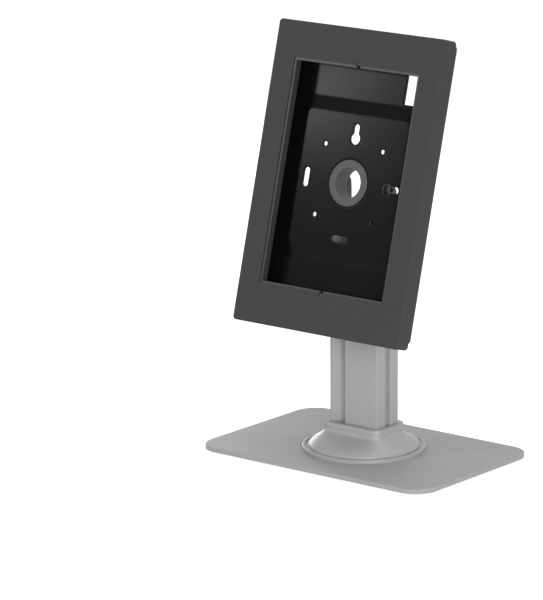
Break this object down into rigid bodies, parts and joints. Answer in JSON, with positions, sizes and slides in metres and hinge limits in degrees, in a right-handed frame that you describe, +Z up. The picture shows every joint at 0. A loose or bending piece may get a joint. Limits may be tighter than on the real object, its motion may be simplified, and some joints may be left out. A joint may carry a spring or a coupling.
{
  "type": "locking tablet stand",
  "caption": "Lockable tablet casing with an open window on a tilting, swivelling head, a slotted column and a flat base plate.",
  "frame": {"origin": "middle of the base plate's outline, on the table", "axes": "+Z up, -Y towards the user in front, +X to the user's right"},
  "size_m": [0.3, 0.2, 0.4568],
  "materials": {
    "stand_paint": "satin fine-textured silver-grey powder coat",
    "column_paint": "satin silver-grey coat over an aluminium extrusion",
    "collar_plastic": "silver-grey moulded plastic",
    "foot_rubber": "matt black rubber",
    "grommet_rubber": "matt black rubber",
    "cast_aluminium": "plain machined aluminium",
    "casing_paint": "fine-textured black powder coat over steel sheet",
    "black_paint": "black powder coat over steel",
    "head_paint": "olive-grey coated steel",
    "zinc_steel": "zinc-plated steel",
    "dark_screw": "blackened steel",
    "washer_plastic": "off-white slippery plastic",
    "rest_rubber": "black cellular rubber",
    "gasket_foam": "black foam rubber with a smooth skin",
    "lock_metal": "black coated zinc casting",
    "lock_chrome": "polished nickel plate"
  },
  "bodies": {
    "stand": {"base_plate": "stand_paint", "base_feet": "foot_rubber", "foot_screws": "zinc_steel", "column_foot": "cast_aluminium", "column": "column_paint", "column_screws": "dark_screw", "base_collar": "collar_plastic", "column_head": "head_paint", "tilt_washers": "washer_plastic", "cable_grommet": "grommet_rubber"},
    "tilt_head": {"tilt_yoke": "head_paint", "tilt_bolts": "head_paint", "swivel_ring": "head_paint", "ring_screws": "dark_screw", "swivel_washer": "washer_plastic"},
    "casing": {"swivel_plate": "black_paint", "stop_pins": "zinc_steel", "rear_housing": "casing_paint", "lock_keeper": "zinc_steel", "keeper_rivets": "zinc_steel", "side_rests": "rest_rubber", "end_rests": "rest_rubber", "hinge_pins": "zinc_steel"},
    "front": {"front_frame": "casing_paint", "window_gasket": "gasket_foam", "lock_box": "lock_metal", "lock_screws": "dark_screw"},
    "lock": {"lock_cylinder": "lock_chrome", "lock_cam": "zinc_steel", "cam_screw": "zinc_steel"}
  },
  "joints": [
    {"name": "tilt", "type": "hinge", "parent": "stand", "child": "tilt_head", "pos_m": [0, 0, 0.29], "axis": [-1, 0, 0], "range_deg": [-12, 35]},
    {"name": "swivel", "type": "hinge", "parent": "tilt_head", "child": "casing", "pos_m": [0, -0.04443, 0.30191], "axis": [0, -0.9659, 0.2588], "range_deg": [0, 90]},
    {"name": "frame_open", "type": "hinge", "parent": "casing", "child": "front", "pos_m": [0, -0.06532, 0.14434], "axis": [1, 0, 0], "range_deg": [0, 110]},
    {"name": "lock_turn", "type": "hinge", "parent": "front", "child": "lock", "pos_m": [0, 0.00746, 0.45385], "axis": [0, -0.2588, -0.9659], "range_deg": [0, 90]}
  ]
}
